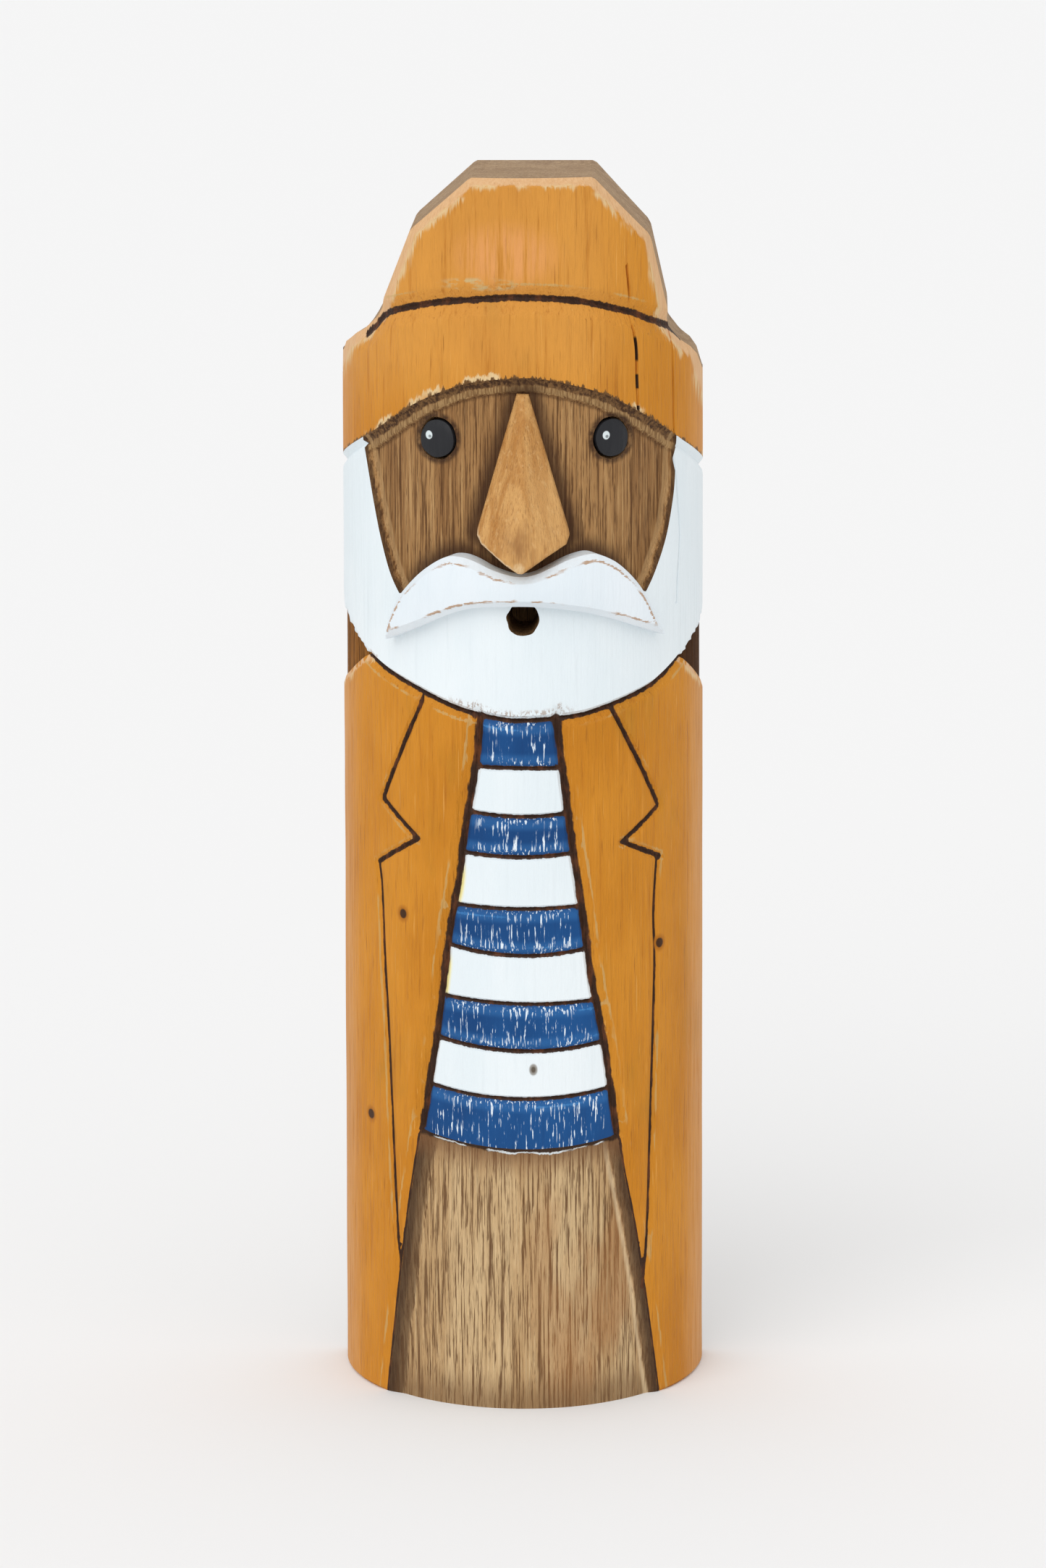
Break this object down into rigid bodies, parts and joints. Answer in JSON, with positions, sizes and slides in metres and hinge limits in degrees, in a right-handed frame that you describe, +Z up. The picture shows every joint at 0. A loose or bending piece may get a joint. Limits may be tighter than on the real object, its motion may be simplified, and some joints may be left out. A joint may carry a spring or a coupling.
{
  "type": "carved wooden figurine",
  "caption": "Standing sailor figurine carved from a half log, with hat, beard, coat and striped shirt in relief and a drilled mouth.",
  "frame": {"origin": "middle of the flat base, on the surface the figurine stands on", "axes": "+Z up the figurine, front towards -Y, sawn flat back towards +Y, +X to the right seen from the front"},
  "size_m": [0.0894, 0.0581, 0.3],
  "materials": {
    "carved_log": "carved light wood, brushed ochre paint worn through at the edges, other areas stained brown",
    "white_paint": "white brushed paint on wood, worn brown at the edges",
    "nose_wood": "bare pale wood, satin",
    "eye_paint": "black paint on a wooden peg, satin"
  },
  "bodies": {
    "root": {"body_block": "carved_log", "moustache": "white_paint", "nose": "nose_wood", "eye_right": "eye_paint", "eye_left": "eye_paint"}
  },
  "joints": []
}
